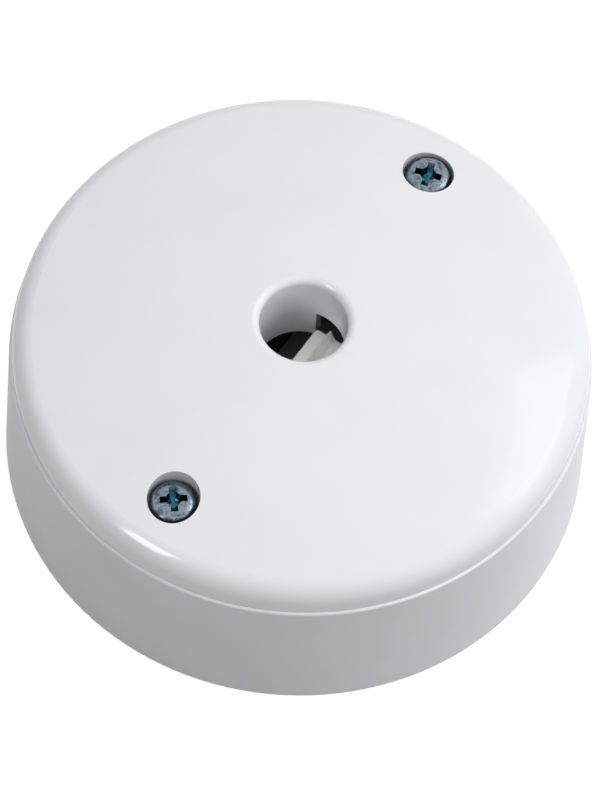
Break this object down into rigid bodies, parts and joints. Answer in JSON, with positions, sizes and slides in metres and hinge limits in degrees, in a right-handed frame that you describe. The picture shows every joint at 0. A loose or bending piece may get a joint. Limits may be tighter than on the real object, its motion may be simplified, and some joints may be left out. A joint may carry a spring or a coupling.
{
  "type": "electrical mounting box",
  "caption": "Round surface-mounting box with a screwed domed cover, a central cord outlet, an inner cord grip and a terminal block.",
  "frame": {"origin": "middle of the flat back face, on the axis of the round box", "axes": "+Z out of the cover along the cord outlet; +X along the line through the two cover screws; the terminal block is on the +Y side and the cord grip on the -Y side"},
  "size_m": [0.0808, 0.0808, 0.0336],
  "materials": {
    "white_plastic": "gloss",
    "grip_plastic": "satin",
    "dark_plastic": "satin",
    "brass": "turned",
    "zinc_steel": "blue zinc plated"
  },
  "bodies": {
    "root": {"base": "white_plastic", "cover": "white_plastic", "cover_screws": "zinc_steel", "cover_insert_left": "brass", "cover_insert_right": "brass", "cord_grip_saddle": "grip_plastic", "cord_grip_bar": "grip_plastic", "cord_grip_screws": "zinc_steel", "terminal_block": "dark_plastic", "terminal_block_screws": "zinc_steel", "terminal_live": "brass", "terminal_loop": "brass", "terminal_neutral": "brass", "terminal_earth": "brass", "terminal_screws": "zinc_steel"}
  },
  "joints": []
}
